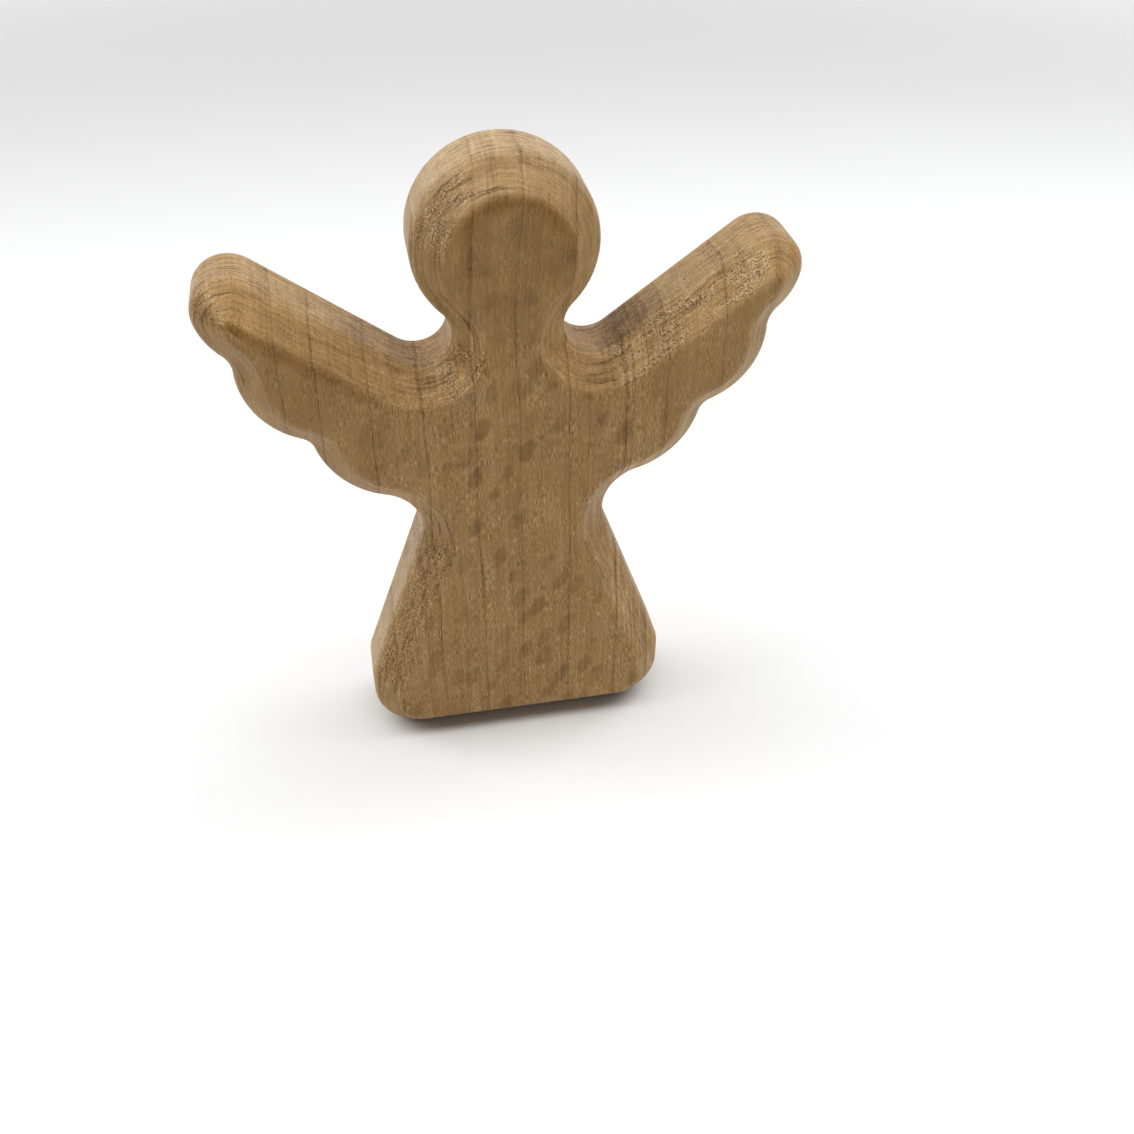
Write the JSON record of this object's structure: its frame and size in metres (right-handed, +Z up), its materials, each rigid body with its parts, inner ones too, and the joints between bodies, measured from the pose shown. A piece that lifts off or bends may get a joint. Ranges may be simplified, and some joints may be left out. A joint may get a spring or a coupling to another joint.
{
  "type": "wooden angel figurine",
  "caption": "Free-standing angel cut from one piece of hardwood: round head, raised scalloped wings, flared robe, sloped edges.",
  "frame": {"origin": "middle of the flat underside", "axes": "+Z up through the head, +X across the wings, the front faces -Y"},
  "size_m": [0.089, 0.018, 0.1046],
  "materials": {
    "beech": "sanded and lightly oiled, satin to matt"
  },
  "bodies": {
    "root": {"angel_figure": "beech"}
  },
  "joints": []
}
